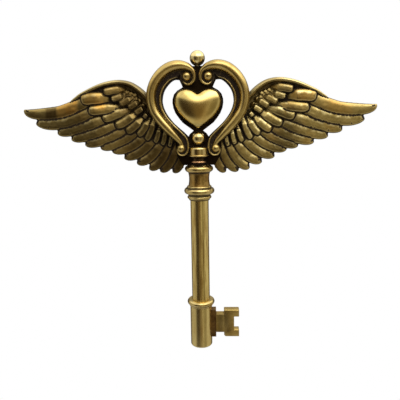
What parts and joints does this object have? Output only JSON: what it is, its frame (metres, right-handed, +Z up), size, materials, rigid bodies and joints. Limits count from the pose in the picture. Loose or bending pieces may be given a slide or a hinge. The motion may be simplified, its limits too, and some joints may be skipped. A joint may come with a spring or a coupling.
{
  "type": "winged key wall ornament",
  "caption": "Ornamental winged key for a wall: heart bow with scrolls, feathered wings, tube shank, bit and hanging ring.",
  "frame": {"origin": "where a wall hook bears inside the top of the hanging ring, in the plane of the ring's wire", "axes": "+Z up along the shank, +X to the side of the bit as seen from the front, +Y towards the wall"},
  "size_m": [0.3602, 0.0329, 0.3109],
  "materials": {
    "dark_brass": "dark brown patina, low sheen",
    "scroll_brass": "aged brass, polished crests over dark grooves",
    "heart_brass": "aged brass, polished and a little mottled",
    "turned_brass": "aged brass, turned and polished",
    "shank_brass": "aged brass, mottled, satin",
    "bit_brass": "aged cast brass, mottled",
    "wing_brass": "aged cast brass, dark grooves, worn crests",
    "back_brass": "plain dull brass",
    "ring_brass": "drawn brass wire",
    "screw_brass": "brass screw heads",
    "rod_steel": "zinc plated steel",
    "bumper_rubber": "black rubber"
  },
  "bodies": {
    "key": {"bow_plate": "dark_brass", "left_scroll": "scroll_brass", "right_scroll": "scroll_brass", "heart": "heart_brass", "crown_ball": "turned_brass", "lower_ball": "turned_brass", "plinth": "turned_brass", "neck_cove": "dark_brass", "upper_flange": "turned_brass", "waist": "shank_brass", "collar_bead": "turned_brass", "seat_ring": "turned_brass", "shank_tube": "shank_brass", "lower_collar": "turned_brass", "bit_sleeve": "shank_brass", "bit_root": "dark_brass", "bit": "bit_brass", "bit_pins": "shank_brass", "end_plug": "shank_brass", "tie_rod": "rod_steel", "rod_washer": "rod_steel", "rod_nut": "rod_steel", "left_wing": "wing_brass", "right_wing": "wing_brass", "left_wing_lug": "back_brass", "right_wing_lug": "back_brass", "wing_screws": "screw_brass", "back_screws": "screw_brass", "hanger_strap": "back_brass", "hanger_screws": "screw_brass", "wing_bumpers": "bumper_rubber", "sleeve_bumper": "bumper_rubber", "bumper_screws": "screw_brass"},
    "ring": {"hanging_ring": "ring_brass"}
  },
  "joints": [
    {"name": "ring_hinge", "type": "hinge", "parent": "key", "child": "ring", "pos_m": [0, 0, -0.0099], "axis": [-1, 0, 0], "range_deg": [-5, 170]}
  ]
}
